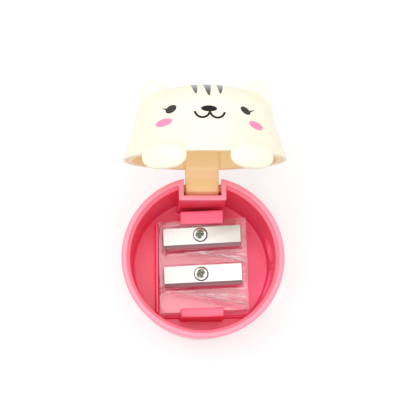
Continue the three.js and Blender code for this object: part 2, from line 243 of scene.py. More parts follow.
# %% [markdown]
# Colours are written as a screen shows them, from 0 to 255, while a shader counts light, and half
# of 255 is only about a fifth of the light. One function turns the first into the second.

# %% Colours
def paint(red, green, blue):
    """A colour from its screen values, 0 to 255."""
    def linear(value):
        share = value / 255
        return share / 12.92 if share <= 0.04045 else ((share + 0.055) / 1.055) ** 2.4
    return (linear(red), linear(green), linear(blue), 1.0)


def grey(level):
    """A neutral colour from its share of the light."""
    return (level, level, level, 1)


print("half of 255 is", round(paint(128, 128, 128)[0], 3), "of the light")

# %% [markdown]
# A plain studio: a pale table, and white all round. More light would whiten the table, but it
# would bleach the sharpener as well. So the table and the surroundings look white to the camera,
# to mirrors and through clear plastic, while the light that they throw stays moderate.

# %% Table and surroundings
def seen_directly(finish):
    """1 for rays from the eye, off a mirror or through glass."""
    path = finish.node("ShaderNodeLightPath").socket.node
    camera_ray, glossy_ray, through = (
        Wire(finish, path.outputs[name])
        for name in ("Is Camera Ray", "Is Glossy Ray", "Is Transmission Ray"))
    return camera_ray.most(glossy_ray).most(through)


table_half = 0.45
table_corners = [(x * table_half, y * table_half, 0) for x, y in ((-1, -1), (1, -1), (1, 1), (-1, 1))]
table_mesh = bpy.data.meshes.new("table")
table_mesh.from_pydata(table_corners, [], [(0, 1, 2, 3)])
table = placed("table", table_mesh)

white = new_finish("table_white")
thrown = white.node("ShaderNodeBsdfDiffuse", {}, {"Color": grey(0.8)})
shaded = white.node("ShaderNodeBsdfDiffuse", {}, {"Color": grey(0.5)})
glow = white.node("ShaderNodeEmission", {}, {"Color": grey(1), "Strength": 0.5})
shown = white.node("ShaderNodeAddShader", {}, {0: shaded, 1: glow})
table_mesh.materials.append(white.show(
    white.node("ShaderNodeMixShader", {}, {0: seen_directly(white), 1: thrown, 2: shown})))

sky_light = 0.64
room = Finish(bpy.data.worlds.new("studio"), "ShaderNodeOutputWorld")
sky = seen_directly(room) * (1 - sky_light) + sky_light
bpy.context.scene.world = room.show(
    room.node("ShaderNodeBackground", {}, {"Color": grey(1), "Strength": sky}))

# %% [markdown]
# One large soft lamp overhead gives the main highlight and the soft shadow. A weak one in front
# and one on each side lift the shadows and leave a gleam on the rounded flanks. Point lamps would
# be simpler, but their hard shadows would hide the small shapes.

# %% Lamps
def lamp(name, place, power, side=0.4):
    """A square soft lamp that faces the middle of the sharpener."""
    light = bpy.data.lights.new(name, "AREA")
    light.size, light.energy = side, power
    made = placed(name, light)
    made.location = place
    aim = Vector((0, 0.01, 0.02)) - made.location
    made.rotation_mode = "QUATERNION"
    made.rotation_quaternion = aim.to_track_quat("-Z", "Y")


lamp("key_lamp", (-0.1, 0.0, 0.66), 1.45)
lamp("fill_lamp", (0.06, -0.42, 0.5), 0.4)
lamp("left_lamp", (-0.46, 0.16, 0.44), 0.6)
lamp("right_lamp", (0.46, 0.16, 0.44), 0.6)

# %% [markdown]
# Moulded plastic has no sharp edges. A Bevel modifier could round them, but it fails where curved
# walls meet at odd angles. So these solids are written as fields: a number for every point in
# space, below 0 inside and above 0 outside. Two fields join, overlap or cut one another by taking
# the larger or the smaller number, and a small change to that rule rounds the edge.

# %% Fields that round their own edges
def both(a, b, edge=0.0):
    """Where two solids overlap, with that radius on the edge between them."""
    if not edge:
        return np.maximum(a, b)
    outer = np.hypot(np.maximum(a + edge, 0), np.maximum(b + edge, 0))
    return np.minimum(np.maximum(a, b), -edge) + outer


def either(a, b, fillet=0.0):
    """Two solids joined, with that radius in the corner between them."""
    return -both(-a, -b, fillet)


def without(a, b, edge=0.0):
    """One solid with another cut away."""
    return both(a, -b, edge)


def between(value, low, high):
    """The slab where a value lies between two others."""
    return np.maximum(low - value, value - high)


print(f"a 1 mm radius takes {both(0.0, 0.0, 1.0):.2f} mm off a square corner")

# %% [markdown]
# A field becomes a mesh by surface nets: every cell of a grid that the surface crosses gets one
# point, and neighbouring points are joined by quads. Metaballs are Blender's own fields, but one
# can't cut another on a given radius, so the net is made here, with numpy.

# %% A net of points where a field changes sign
def crossed_cells(inside, axes, cell):
    """A point in every cell that the surface crosses, and the quads that join them."""
    counts = np.array(inside.shape)
    near = sum(inside[tuple(slice(o, o + n - 1) for o, n in zip(corner, counts))].astype(np.int8)
               for corner in itertools.product((0, 1), repeat=3))
    crossed = (near > 0) & (near < 8)
    number = np.full(crossed.shape, -1)
    number[crossed] = np.arange(crossed.sum())
    where = np.argwhere(crossed)
    points = np.stack([axis[index] for axis, index in zip(axes, where.T)], 1) + cell / 2
    quads = []
    for axis in range(3):
        order = (axis, (axis + 1) % 3, (axis + 2) % 3)
        side = np.moveaxis(inside, order, (0, 1, 2))[:, 1:-1, 1:-1]
        cells = np.moveaxis(number, order, (0, 1, 2))
        ring = np.stack([cells[:, :-1, :-1], cells[:, 1:, :-1], cells[:, 1:, 1:], cells[:, :-1, 1:]], -1)
        quads.append(ring[side[:-1] & ~side[1:]])
        quads.append(ring[~side[:-1] & side[1:]][:, ::-1])
    return points, np.concatenate(quads)


# %% [markdown]
# The raw net has steps as large as its cells. A Smooth modifier would blur them and the edges
# alike. Instead the points are slid onto the surface and evened out along it, which leaves a
# smooth, closed mesh of nearly square faces.

# %% A mesh from a field
def onto(field, points, cell):
    """Points slid along the field's slope onto its surface, and the surface's normals there."""
    tiny = cell * 0.02
    value = field(*points.T)
    slope = np.stack([(field(*(points + step).T) - value) / tiny for step in np.eye(3) * tiny], 1)
    steep = np.maximum((slope ** 2).sum(1), 1e-6)
    shift = -(value / steep)[:, None] * slope
    length = np.linalg.norm(shift, axis=1)[:, None]
    shift *= np.minimum(1, cell / np.maximum(length, 1e-9))
    return points + shift, slope / np.sqrt(steep)[:, None]


def skin(name, field, low, high, cell, rounds=4):
    """The closed mesh of a field's surface within a box, in metres."""
    axes = [np.arange(a - 2 * cell, b + 3 * cell, cell) for a, b in zip(low, high)]
    inside = field(*np.meshgrid(*axes, indexing="ij", copy=False)) < 0
    points, quads = crossed_cells(inside, axes, cell)
    ends = np.concatenate([quads[:, [a, (a + 1) % 4]] for a in range(4)])
    degree = np.bincount(ends[:, 0], minlength=len(points))[:, None]
    for _ in range(rounds):
        points, normals = onto(field, points, cell)
        mean = np.stack([np.bincount(ends[:, 0], points[ends[:, 1], i], len(points)) for i in range(3)], 1)
        drift = mean / degree - points
        drift -= (drift * normals).sum(1)[:, None] * normals
        points = points + drift / 2
    for _ in range(2):
        points, _ = onto(field, points, cell)
    mesh = bpy.data.meshes.new(name)
    mesh.from_pydata((points * MM).tolist(), [], quads.tolist())
    mesh.polygons.foreach_set("use_smooth", np.ones(len(mesh.polygons), bool))
    print(name, len(mesh.polygons), "faces")
    return mesh


# %% [markdown]
# Every piece ends in the same way: it is placed, rides on the body of the cup or of the lid,
# and stands for its node of the part. One helper does it all, so that no piece can miss a step.

# %% A finished piece on its body
def stand(mesh, material, pose, body, node):
    """Puts a finished piece in its place on its body, instead of its node."""
    made = placed(mesh.name, mesh)
    mesh.materials.append(material)
    made.matrix_world = pose
    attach(made, body)
    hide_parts(node)
    print(made.name, "rides on", body)


# %% [markdown]
# The cup is glossy pink plastic, moulded in one piece: a flared wall with a ledge inside its rim,
# a square slot at the back for the lid's arm, two round holes for the pencils, and two clips, a
# rail and a curb on its floor that hold the sharpener block. It could be a turned profile with
# boolean cuts, but the mould has rounded every corner of the real one, so it is a field.

# %% The cup's sizes
run_gap = 0.3
base_radius = rim_radius - 1.9
cup_floor = 1.6
well_floor, well_top = base_radius - 1.5, rim_radius - 2.55
rim_edge, floor_edge = 0.65, 0.7
ledge_width, ledge_drop = 1.7, 1.8
slot_half, slot_wall = 5.6, 1.5
slot_front = rim_radius - 5.8
slot_stop, stop_back = 17.2, hinge_y + 1.6
knuckle_radius = 2.2
socket_radius, socket_depth = 1.25, 1.2
fine_cell = 0.26
print(f"cup {base_radius:.2f} to {rim_radius:.2f} in radius, its slot {2 * slot_half} wide")

# %% [markdown]
# Each pencil goes in through a hole in the cup's right wall, straight into a cone of the block. A
# hole and its cone share one axis, so one entry holds both: the hole's radius, the cone's radius
# at its mouth, and the place of the screw in the frame of the blade above.

# %% The two pencil holes
seat_depth = 1.2
holes = {
    "small": dict(y=block_front + 19.08, radius=4.3, mouth=4.1, screw=(-0.5, 4.1)),
    "large": dict(y=block_front + 7.35, radius=6.0, mouth=5.5, screw=(-0.55, 3.75)),
}
for size, hole in holes.items():
    hole["z"] = deck_top - seat_depth - hole["mouth"]
    print(f"{size} hole at y {hole['y']:.2f} z {hole['z']:.2f}")

# %% [markdown]
# Two clips hook over the block at its back and front, a rail stands at its left and a low curb
# runs along its front. They could be boxes, but they lean with the deck and melt into the floor,
# so each is a field that starts from its own few sizes.

# %% Clips, rail and curb
clip_half, clip_rise = 6.5, 1.6
back_clip, back_hook = 2.3, 1.4
front_clip, front_hook = 1.65, 0.85
rail_width, rail_drop, curb_rise = 0.7, 0.4, 1.0


def clip_field(x, y, z, stem, head):
    """A clip with an upright stem and a sloping head that hooks over the block."""
    slope = math.cos(deck_slope)
    lift = (z - deck(x)) * slope
    whole = both(both(np.abs(x) - clip_half, between(y, *head), 0.35), lift - clip_rise * slope, 0.3)
    open_side = np.minimum(y - stem[0], stem[1] - y)
    return without(whole, both(open_side, lift - run_gap * slope), 0.1)


def fittings(x, y, z):
    """The two clips, the rail and the curb."""
    back, front, left = block_back + run_gap, block_front - run_gap, block_left - run_gap
    rail = both(between(x, left - rail_width, left), between(y, block_front, block_back), 0.2)
    curb = both(between(x, block_left, block_right), between(y, front - rail_width, front), 0.2)
    return (
        clip_field(x, y, z, (back, back + back_clip), (block_back - back_hook, back + back_clip)),
        clip_field(x, y, z, (front - front_clip, front), (front - front_clip, block_front + front_hook)),
        both(rail, z - deck(block_left) + rail_drop, 0.25),
        both(curb, z - cup_floor - curb_rise, 0.25),
    )


# %% [markdown]
# The cup is then put together as a mould for it would be: the outer wall, less the room inside
# and the slot, plus what stands on the floor, less the round holes. All of it could be one long
# rule, but in this order each join gets a small radius of its own.

# %% The cup's shape
def cup_field(x, y, z):
    """The wall, less its inside and the slot, plus the fittings, less the holes and sockets."""
    radius = np.hypot(x, y)
    share = z / cup_height
    wall = radius - (base_radius + (rim_radius - base_radius) * share)
    body = both(both(wall, z - cup_height, rim_edge), -z, rim_edge)

    well = both(radius - (well_floor + (well_top - well_floor) * share), cup_floor - z, floor_edge)
    ledge = both(radius - (rim_radius - ledge_width), cup_height - ledge_drop - z, 0.15)
    space = either(well, ledge, 0.15)
    housing = both(np.abs(x) - slot_half - slot_wall, slot_front - slot_wall - y, 0.35)
    space = without(space, housing, 0.35)

    slot = both(np.abs(x) - slot_half, slot_front - y, 0.25)
    relief = both(both(slot, hinge_z - knuckle_radius - run_gap - z, 0.25), y - stop_back, 0.2)
    stop = both(slot, slot_stop - z, 0.2)
    space = np.minimum(space, either(either(relief, stop), both(slot, well), 0.1))
    cup = without(body, space, 0.25)

    for fitting in fittings(x, y, z):
        cup = either(cup, both(fitting, 0.5 - z), 0.2)
    for hole in holes.values():
        bore = np.hypot(y - hole["y"], z - hole["z"]) - hole["radius"]
        cup = without(cup, both(bore, block_right + run_gap - x), 0.2)
    from_hinge = np.hypot(y - hinge_y, z - hinge_z)
    return without(cup, both(from_hinge - socket_radius, np.abs(x) - slot_half - socket_depth), 0.1)


cup_mesh = skin("cup_pink", cup_field, (-rim_radius, -rim_radius, 0),
                (rim_radius, rim_radius, cup_height), fine_cell)

# %% [markdown]
# The plastic is one pink all through, but light that has bounced about in the cup comes back
# redder than light off its rim. Bounces alone don't redden it enough here. So painted shade makes
# the colour deeper red inside and cooler on the floor, and painted light keeps the rim and the
# clips paler. Slow clouds vary the tone.

# %% The cup's finish
pink = new_finish("cup_pink_plastic")
at = pink.place()
x, y, z = at.parts()
radius = (x * x + y * y) ** 0.5
cloud = pink.noise(at, 9.0)
# Painted shade: deeper red inside the cup, cooler on the floor. Painted light: paler rim and clips.
inside = (radius - rim_radius + 1.9).rise(0.25, -0.25) * (z - cup_height).rise(-0.4, -2.6)
on_clips = radius.rise(17.5, 16.5) * z.rise(7.0, 8.0)
wall_painted_shade = cloud.blend(paint(255, 78, 108), paint(255, 88, 118))
floor_painted_shade = cloud.blend(paint(255, 78, 124), paint(255, 88, 132))
inner_painted_light_and_shade = z.rise(9.0, 3.0).blend(on_clips.blend(wall_painted_shade, paint(255, 106, 140)), floor_painted_shade)
pink_plastic = pink.moulded(at, inside.blend(paint(255, 150, 172), inner_painted_light_and_shade),
                            0.26 + pink.noise(at, 2.5) * 0.08)
stand(cup_mesh, pink_plastic, Matrix(), "base", "cup")

# %% [markdown]
# The sharpener block is one clear moulding, cut from a wedge: two cones lie on their sides in it,
# each opened along the top by a slot under the blade's edge, with a pocket for the lead's tip and
# a shallow seat for the blade. Flat faces matter here, because clear plastic shows every ripple
# and a net has some. So it is built from exact solids with boolean cuts and a narrow bevel.

# %% Exact solids
def solid(name, corners, faces):
    """A solid from its corners in millimetres and its faces."""
    mesh = bpy.data.meshes.new(name)
    mesh.from_pydata([Vector(c) * MM for c in corners], [], faces)
    return placed(name, mesh)


def brick(name, x, y, z):
    """A box from its three spans."""
    corners = [(a, b, c) for c in z for b in y for a in x]
    faces = [(0, 2, 3, 1), (4, 5, 7, 6), (0, 1, 5, 4), (2, 6, 7, 3), (0, 4, 6, 2), (1, 3, 7, 5)]
    return solid(name, corners, faces)


def spindle(name, stations, sides):
    """A solid turned about X, from (x, radius) stations; a radius of 0 closes an end."""
    mesh = bmesh.new()
    rings = []
    for x, radius in stations:
        if radius == 0:
            rings.append([mesh.verts.new((x * MM, 0, 0))])
        else:
            rings.append([mesh.verts.new((x * MM, radius * MM * math.cos(a), radius * MM * math.sin(a)))
                          for a in (2 * math.pi * i / sides for i in range(sides))])
    for one, two in zip(rings, rings[1:]):
        for i in range(sides):
            j = (i + 1) % sides
            corners = [one[i % len(one)], one[j % len(one)], two[j % len(two)], two[i % len(two)]]
            mesh.faces.new(list(dict.fromkeys(corners)))
    for ring in (rings[0], rings[-1]):
        if len(ring) > 1:
            mesh.faces.new(ring)
    bmesh.ops.recalc_face_normals(mesh, faces=mesh.faces)
    data = bpy.data.meshes.new(name)
    mesh.to_mesh(data)
    mesh.free()
    return placed(name, data)


# %% [markdown]
# A cut leaves sharp edges and long flat faces. A Bevel modifier would do, but it can't first
# merge what the cuts have split. So the mesh is cleaned and bevelled in one go, and Weighted
# Normal then keeps the flat faces looking flat beside their rounded edges.

# %% Cuts and bevels
def evaluated_mesh(target):
    """A new mesh of an object as its modifiers leave it."""
    bpy.context.view_layer.update()
    evaluated = target.evaluated_get(bpy.context.evaluated_depsgraph_get())
    return bpy.data.meshes.new_from_object(evaluated)


def carve(target, tool):
    """Cuts the tool out of the target and throws the tool away."""
    cut = target.modifiers.new("cut", "BOOLEAN")
    cut.object, cut.operation, cut.solver = tool, "DIFFERENCE", "EXACT"
    mesh = evaluated_mesh(target)
    target.modifiers.clear()
    target.data = mesh
    bpy.data.objects.remove(tool)


def soften(target, width, segments=2, angle=25):
    """A narrow bevel on every edge that turns by more than an angle, then smooth shading."""
    mesh = bmesh.new()
    mesh.from_mesh(target.data)
    bmesh.ops.remove_doubles(mesh, verts=mesh.verts, dist=1e-7)
    bmesh.ops.dissolve_limit(mesh, angle_limit=math.radians(0.5), verts=mesh.verts, edges=mesh.edges)
    sharp = [e for e in mesh.edges if len(e.link_faces) == 2 and e.calc_face_angle() > math.radians(angle)]
    bmesh.ops.bevel(mesh, geom=sharp, offset=width * MM, offset_type="OFFSET", segments=segments,
                    profile=0.5, affect="EDGES", clamp_overlap=True)
    mesh.to_mesh(target.data)
    mesh.free()
    target.data.polygons.foreach_set("use_smooth", np.ones(len(target.data.polygons), bool))
    target.modifiers.new("flat faces stay flat", "WEIGHTED_NORMAL").weight = 100
    data = evaluated_mesh(target)
    data.name = target.name
    bpy.data.objects.remove(target)
    print(data.name, len(data.polygons), "faces")
    return data


# %% [markdown]
# A blade lies on a seat that is parallel to the deck, with its edge just behind the cone's axis.
# The cutters could each be tilted by hand. In the blade's own frame the seat, the slot and the
# pocket are plain boxes and the screw's hole is a plain pin, so all are made there and then laid
# on the slope together.

# %% A blade's own frame
seat_gap = 0.15
edge_back = 0.35
blade_half = 23.7 / 2 / math.cos(deck_slope)
blade_middle = (block_left + 1.55 + block_right - 1.35) / 2
blade_width, blade_thick = 6.6, 0.6
upright = Matrix.Rotation(math.radians(-90), 4, "Y")


def seat_frame(hole):
    """A blade's own frame, with its origin under the middle of the edge and its Z out of the seat."""
    height = deck(blade_middle) - seat_depth + seat_gap
    place = Vector((blade_middle, hole["y"] + edge_back, height)) * MM
    return Matrix.Translation(place) @ Matrix.Rotation(-deck_slope, 4, "Y")


def at_screw(hole, height=0):
    """The place of a blade's screw in the blade's own frame."""
    return Matrix.Translation(Vector((*hole["screw"], height)) * MM)


def on_seat(made, hole):
    """Moves what was made in a blade's own frame to its place in the block."""
    made.data.transform(seat_frame(hole))
    return made


print(f"blades {2 * blade_half:.2f} long, their middle at x {blade_middle:.2f}")

# %% [markdown]
# The block starts as a box, and its right end is raised to make the wedge. A cone opens at the
# deck's own angle, so its upper side runs just under the blade's edge. One joined cutter could
# take everything out at once, but cuts made one by one are easier to follow and to check.

# %% The block's shape
cone_flare = deck_rise
cutter_front, cutter_top = -1.0, 4
slot_drop = 4.1
pocket_length, pocket_front, pocket_drop = 5.8, 1.7, 3.2
pilot_radius, pilot_depth = 1.15, 5.3

block = brick("sharpener_block_clear", (block_left, block_right), (block_front, block_back),
              (block_under, deck(block_left)))
for vertex in block.data.vertices:
    if vertex.co.x > 0 and vertex.co.z > block_under * 1.5 * MM:
        vertex.co.z = deck(block_right) * MM
for hole in holes.values():
    length = hole["mouth"] / cone_flare
    cone = spindle("cone", [(block_right - length, 0), (block_right, hole["mouth"]),
                            (block_right + 1, hole["mouth"] + cone_flare)], 96)
    cone.data.transform(Matrix.Translation(Vector((0, hole["y"], hole["z"])) * MM))
    carve(block, cone)
    tip = block_right - length - blade_middle
    half = blade_half + run_gap
    for name, along, across, drop in (
            ("seat", (-half, half), (cutter_front, blade_width + run_gap), seat_gap),
            ("slot", (tip, half), (cutter_front, run_gap), slot_drop),
            ("pocket", (tip - pocket_length, tip + run_gap), (-pocket_front, run_gap), pocket_drop)):
        carve(block, on_seat(brick(name, along, across, (-drop, cutter_top)), hole))
    pilot = spindle("pilot", [(-pilot_depth, pilot_radius), (0, pilot_radius)], 32)
    pilot.data.transform(at_screw(hole) @ upright)
    carve(block, on_seat(pilot, hole))
block_mesh = soften(block, 0.12)

# %% [markdown]
# Seen square on, the clear plastic is almost invisible, and towards its edges it turns milky. It
# could be plain refracting glass, but then its milkiness couldn't be set apart from its clarity.
# So its opacity follows the angle. Along the front of each cone a matt white is mixed in, in
# streaks: a painted highlight that stands for the lamps' gleam on the cones.

# %% The block's finish
clear = new_finish("clear_plastic")
at = clear.place()
x, y, z = at.parts()
# Painted highlight: bright streaks along the front of each cone.
painted_glint = 0.0
for hole in holes.values():
    from_tip = x - (block_right - hole["mouth"] / cone_flare)
    from_axis = ((y - hole["y"]) ** 2 + (z - hole["z"]) ** 2) ** 0.5
    on_cone = abs(from_axis - from_tip * cone_flare).rise(0.15, 0.05)
    in_front = ((hole["y"] - y) / from_axis).rise(0.3, 0.8)
    painted_glint = painted_glint + on_cone * from_tip.rise(1.0, 4.0) * in_front
streaks = painted_glint * clear.noise(clear.stretched(at, (0.1, 1.0, 1.0)), 1.0, 1.0).rise(0.4, 0.65)
edge_on = clear.node("ShaderNodeLayerWeight", {}, {"Blend": 0.5}, 1)
glassy = clear.coat(
    Base_Color=clear.noise(at, 5.0).blend(paint(255, 242, 245), paint(255, 251, 252)),
    Alpha=0.13 + edge_on * edge_on * 0.85,
    Roughness=0.05 + clear.noise(at, 3.0) * 0.05,
    Normal=clear.bump(clear.noise(at, 2.2), 0.015),
    Metallic=0.24,
    Transmission_Weight=0.8,
    IOR=1.5)
# The matt white that the painted highlight streaks mix in.
glint_white = clear.node("ShaderNodeBsdfDiffuse", {}, {"Color": paint(255, 250, 250)})
clear_plastic = clear.show(clear.node("ShaderNodeMixShader", {}, {0: streaks * 0.75, 1: glassy, 2: glint_white}))

# %% [markdown]
# The block, its blades and its screws are modelled square, but in use they have settled in the
# clips, a degree off, as far as the room round them allows. Every cutter could be turned instead.
# Turning the finished pieces together is simpler and keeps every fit between them.

# %% How the block has settled
def turned_about(centre, angle, axis):
    """The turn by an angle in degrees about a line through a point in millimetres."""
    there = Matrix.Translation(Vector(centre) * MM)
    return there @ Matrix.Rotation(math.radians(angle), 4, axis) @ there.inverted()


settled = turned_about(((block_left + block_right) / 2, (block_front + block_back) / 2, 0), 1.1, "Z")
stand(block_mesh, clear_plastic, settled, "base", "sharpener_block")

# %% [markdown]
# The blades are strips of steel, ground along their length. An Anisotropic shader could stretch
# their shine, but fine streaks of noise also vary the colour. A dimmer reflection is painted on the
# face towards its right end, and the ground edge carries a painted pink reflection of the cup with
# painted shade behind it.

# %% The blades' finish
bevel = 1.3
steel = new_finish("blade_steel")
at = steel.place()
along_edge, across, _ = at.parts()
grain = steel.noise(steel.stretched(at, (0.12, 6.0, 1.0)), 0.5, 4.0)
# Painted reflection: the face is darker towards its right end, where the lamp's reflection falls off. Noise
# adds a random tone.
to_the_right = along_edge.rise(-4.0, 12.0) * across.rise(-2.0, 2.0)
painted_reflection_falloff_and_tone = to_the_right * (0.3 + grain * 0.3) + steel.noise(at, 5.0) * 0.1
flat_face = painted_reflection_falloff_and_tone.blend(grain.blend(paint(158, 155, 150), paint(188, 185, 181)), paint(116, 106, 97))
on_edge = upper_edge = 0.0
for hole in holes.values():
    beside = across - (hole["y"] + edge_back)
    on_edge = on_edge + beside.rise(-0.2, -0.1) * beside.rise(bevel + 0.06, bevel - 0.04)
    upper_edge = upper_edge + beside.rise(0.4, 0.9) * beside.rise(bevel + 1.0, bevel)
# Painted reflection and shade on the ground edge: pink from the cup near the cutting edge, dark behind it.
ground_edge_painted_reflection = upper_edge.blend(grain.blend(paint(138, 86, 94), paint(170, 112, 118)),
                               grain.blend(paint(78, 62, 66), paint(112, 88, 92)))
blade_steel = steel.show(steel.coat(
    Base_Color=on_edge.blend(flat_face, ground_edge_painted_reflection),
    Metallic=1.0,
    Roughness=0.24 + grain * 0.12,
    Normal=steel.bump(grain, 0.002)))

# %% [markdown]
# A blade has five long sides: its back, its two faces, the ground bevel and a hair of cutting
# edge. A cube with one edge moved would come close, but the section says it plainly. It is run
# along the blade's length, drilled for the screw and laid on its seat.

# %% Blades
edge_thick, back_trim = 0.06, 0.12
left_trim, right_trim = 0.1, 0.25
bolt_radius = 1.4


def blade_mesh(hole, name):
    """A blade on its seat, drilled for its screw."""
    back = blade_width - back_trim
    section = [(0, 0), (back, 0), (back, blade_thick), (bevel, blade_thick), (0, edge_thick)]
    count = len(section)
    corners = [(x, y, z) for x in (left_trim - blade_half, blade_half - right_trim) for y, z in section]
    sides = [(i, (i + 1) % count, (i + 1) % count + count, i + count) for i in range(count)]
    blade = solid(name, corners, [tuple(range(count))[::-1], tuple(range(count, 2 * count)), *sides])
    bolt = spindle("bolt", [(-1, bolt_radius), (2, bolt_radius)], 48)
    bolt.data.transform(at_screw(hole) @ upright)
    carve(blade, bolt)
    on_seat(blade, hole)
    return soften(blade, 0.05)


for size, hole in holes.items():
    stand(blade_mesh(hole, f"blade_{size}_ground"), blade_steel, settled,
          "base", f"blade_{size}")

# %% [markdown]
# A small cross-head screw holds each blade. A painted highlight puts a bright ring on the crown of
# its head, and painted shade darkens its skirt and its cross. Vertex colours could paint that, but
# rings worked out from the distance to the screw's axis are exact, and they fit both screws.

# %% The screws' finish
chrome = new_finish("screw_steel")
at = chrome.place()
x, y, z = at.parts()
from_axis = (x * x + y * y) ** 0.5
# Painted highlight on the bright ring, painted shadow on the skirt at the gap under the head, and painted
# shade in the cross.
painted_highlight_ring = from_axis.rise(1.3, 1.45) * from_axis.rise(1.95, 1.8)
skirt = from_axis.rise(1.86, 2.0)
painted_shade_in_cross = z.rise(0.62, 0.5) * from_axis.rise(1.5, 1.35)
tint = chrome.noise(at, 0.7).blend(paint(104, 106, 100), paint(162, 160, 154))
for where, shade in ((painted_highlight_ring, (205, 203, 199)), (skirt, (66, 62, 60)), (painted_shade_in_cross, (84, 92, 78))):
    tint = where.blend(tint, paint(*shade))
screw_steel = chrome.show(chrome.coat(
    Base_Color=tint,
    Metallic=1.0,
    Roughness=0.18 + chrome.noise(at, 0.5) * 0.14,
    Normal=chrome.bump(chrome.noise(at, 0.35), 0.004)))

# %% [markdown]
# The head is a low dome with a tapering cross sunk into it. Boolean cuts would leave the cross
# with hard edges, and a field gives it soft ones, so the screws are fields on a finer grid.

# %% Screws
screw_radius, crown_height, crown_fall = 2.2, 0.9, 0.3
shank_radius, shank_length, point_radius = 1.1, 5.75, 0.45
cross_half, cross_reach, cross_floor, cross_taper = 0.3, 1.25, 0.35, 0.12
screw_lift, screw_cell = 0.05, 0.09


def screw_field(x, y, z):
    """A screw whose head sits on z = 0."""
    radius = np.hypot(x, y)
    dome = z - crown_height + crown_fall * (radius / screw_radius) ** 2
    head = both(both(radius - screw_radius, dome, 0.18), -z, 0.1)
    shank = both(radius - shank_radius, np.maximum(z - 0.2, -shank_length - z))
    point = radius - point_radius - (z + shank_length)
    screw = either(head, both(shank, point, 0.1))
    depth = z - cross_floor
    taper = cross_taper * depth
    arms = [both(both(np.abs(a) - cross_half - taper, np.abs(b) - cross_reach - taper, 0.08), -depth)
            for a, b in ((x, y), (y, x))]
    return without(screw, either(*arms, 0.12), 0.05)


for size, cross_turn in (("small", 0), ("large", 20)):
    hole = holes[size]
    screw_mesh = skin(f"blade_screw_{size}_chrome", screw_field,
                      (-2.25, -2.25, -5.8), (2.25, 2.25, 1.0), screw_cell)
    screwed_in = (settled @ seat_frame(hole) @ at_screw(hole, blade_thick + screw_lift)
                  @ Matrix.Rotation(math.radians(cross_turn), 4, "Z"))
    stand(screw_mesh, screw_steel, screwed_in, "base", f"blade_screw_{size}")

# %% [markdown]
# The lid's plate and its arm are one peach moulding. The plate is a dish that opens towards the
# cup, with a wall that follows the inside of the head. The arm runs up its rear wall as a flat
# rib, comes down over the rim and ends in a rounded knuckle with a stub on each side. Joined
# boxes and cylinders would show seams that a moulding hasn't got, so it is a field again.

# %% The lid's sizes
lid_under = cup_height + 0.4
waist, skirt_flare = 12.0, 3.8
dome_radius = head_radius - skirt_flare
dish_depth, dish_wall, plate_inset = 7.5, 1.3, 1.6
mouth_height, mouth_taper, taper_square = 2.1, 0.65, 0.84
flange_height = 0.6
arm_half, arm_front, arm_back, arm_overlap = 5.1, 1.2, 1.3, 0.6
arm_lean, lean_square, rib_thick = 0.34, 0.946, 1.2
knuckle_top = 1.9
stub_radius, stub_reach = 1.1, 0.9
gutter_width, gutter_half = 0.5, 0.4
print(f"lid from z {lid_under:.2f}, its dome {dome_radius:.2f} in radius")


# %% The lid plate's shape
def skirt_radius(h):
    """Radius of the head's flared side at a height above the lid's underside."""
    return dome_radius + skirt_flare * np.maximum(1 - h / waist, 0) ** 1.2


def dish_field(x, y, h):
    """The dish, its flange that fills the head's mouth, and a gutter on each side of the arm."""
    radius = np.hypot(x, y)
    side = radius - skirt_radius(h) + plate_inset
    flange_side = (radius - plate_radius + mouth_taper * (h - flange_height)) * taper_square
    flange = both(both(radius - plate_radius, flange_side, 0.2), h - mouth_height)
    outside = both(np.minimum(side, flange), between(h, 0, dish_depth + dish_wall), 0.25)
    dish = without(outside, both(side + dish_wall, h - dish_depth, 1.0), 0.25)
    gutter = both(between(np.abs(x), arm_half, arm_half + gutter_width),
                  between(side + dish_wall, -gutter_half, gutter_half))
    return without(dish, both(both(gutter, -y), h - dish_depth), 0.1)


def arm_field(x, y, z):
    """The leg behind the rim, the rib up the dish's rear wall and the knuckle."""
    h = z - lid_under
    fore, aft = y - hinge_y + arm_front, y - hinge_y - arm_back
    leg = both(both(-fore, aft, 0.5), between(z, hinge_z, lid_under + arm_overlap))
    lean = (fore + arm_lean * h) * lean_square
    rib = both(between(lean, 0, rib_thick), between(h, 0, dish_depth + arm_overlap))
    round_end = np.hypot(y - hinge_y, z - hinge_z) - knuckle_radius
    knuckle = both(round_end, both(z - hinge_z - knuckle_top, aft, 0.3))
    arm = either(either(leg, rib, 1.0), knuckle, 1.6)
    return both(both(arm, np.abs(x) - arm_half, 0.6), np.hypot(x, y) - plate_radius, 0.2)


def plate_field(x, y, z):
    """The dish and its arm, with a stub on each side of the knuckle."""
    plate = either(dish_field(x, y, z - lid_under), arm_field(x, y, z), 0.15)
    from_hinge = np.hypot(y - hinge_y, z - hinge_z)
    return either(plate, both(from_hinge - stub_radius, np.abs(x) - slot_half - stub_reach, 0.15))


plate_mesh = skin("lid_plate_peach", plate_field, (-plate_radius, -plate_radius, hinge_z - knuckle_radius),
                  (plate_radius, hinge_y + 1.5, lid_under + dish_depth + dish_wall), fine_cell)

# %% [markdown]
# The peach plastic is a little matter than the cup's. Light and shade are painted into its colour:
# the dish is painted paler, and the arm has painted light at the knuckle and painted shade deeper
# up the dish's wall, in the head's shade. Two materials would meet in a line there, so one material
# blends its tints by height.

# %% The lid plate's finish
peach = new_finish("plate_peach_plastic")
at = peach.place()
x, y, z = at.parts()
h = z - lid_under
behind_rib = y - hinge_y + (arm_front + 0.1) + h.most(0.0) * arm_lean
on_arm = abs(x).rise(arm_half + 0.3, arm_half) * behind_rib.rise(-0.2, 0.0)
